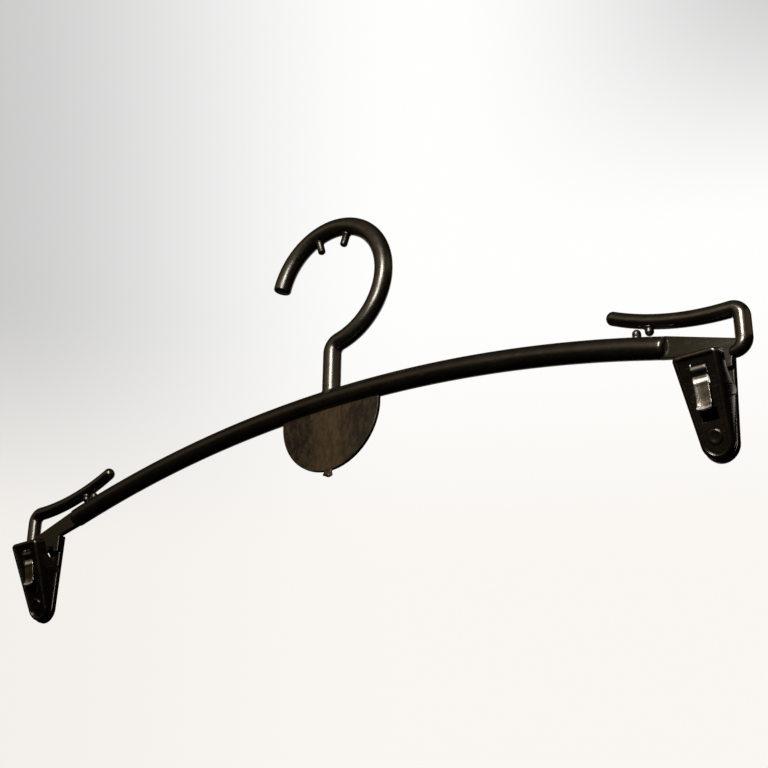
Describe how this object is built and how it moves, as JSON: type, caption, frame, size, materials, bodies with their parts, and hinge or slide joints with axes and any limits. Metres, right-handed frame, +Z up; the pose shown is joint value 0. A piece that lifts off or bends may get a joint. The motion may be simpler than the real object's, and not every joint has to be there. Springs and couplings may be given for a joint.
{
  "type": "skirt hanger",
  "caption": "Low arched hanger with a fixed hook, a half-round label tab, springy strap arms that turn back over the bow, and sprung pinch clips at the ends.",
  "frame": {"origin": "on the stem's axis, at the height of the inner side of the hook's crown, where a rail would bear", "axes": "+X along the bow, away from the side the hook opens to; +Y to the back, away from the levers; +Z up"},
  "size_m": [0.297, 0.0162, 0.1237],
  "materials": {
    "moulding": "glossy near-black moulded plastic with a warm brown cast",
    "tab": "satin near-black plastic, finely streaked",
    "lever": "glossy near-black moulded plastic",
    "spring": "dark spring steel strip with bright bends"
  },
  "bodies": {
    "hanger": {"bow": "moulding", "hook": "moulding", "label_tab": "tab", "left_tag_peg": "moulding", "right_tag_peg": "moulding", "left_end_plate": "moulding", "left_strap_post": "moulding", "left_bow_bead": "moulding", "left_fixed_jaw": "moulding", "left_clip_spring": "spring", "right_end_plate": "moulding", "right_strap_post": "moulding", "right_bow_bead": "moulding", "right_fixed_jaw": "moulding", "right_clip_spring": "spring"},
    "left_arm": {"left_strap_arm": "moulding", "left_arm_bead": "moulding"},
    "left_lever": {"left_lever_jaw": "lever"},
    "right_arm": {"right_strap_arm": "moulding", "right_arm_bead": "moulding"},
    "right_lever": {"right_lever_jaw": "lever"}
  },
  "joints": [
    {"name": "left_arm_flex", "type": "hinge", "parent": "hanger", "child": "left_arm", "pos_m": [-0.1428, 0, -0.0711], "axis": [0, -1, 0], "range_deg": [0, 6], "stiffness_Nm_per_rad": 0.5},
    {"name": "left_lever_hinge", "type": "hinge", "parent": "hanger", "child": "left_lever", "pos_m": [-0.1362, -0.00085, -0.09776], "axis": [-1, 0, 0], "range_deg": [0, 28], "stiffness_Nm_per_rad": 0.25, "springref_deg": -20.05, "deforming": ["left_clip_spring"]},
    {"name": "right_arm_flex", "type": "hinge", "parent": "hanger", "child": "right_arm", "pos_m": [0.1428, 0, -0.0711], "axis": [0, 1, 0], "range_deg": [0, 6], "stiffness_Nm_per_rad": 0.5},
    {"name": "right_lever_hinge", "type": "hinge", "parent": "hanger", "child": "right_lever", "pos_m": [0.1362, -0.00085, -0.09776], "axis": [-1, 0, 0], "range_deg": [0, 28], "stiffness_Nm_per_rad": 0.25, "springref_deg": -20.05, "deforming": ["right_clip_spring"]}
  ]
}
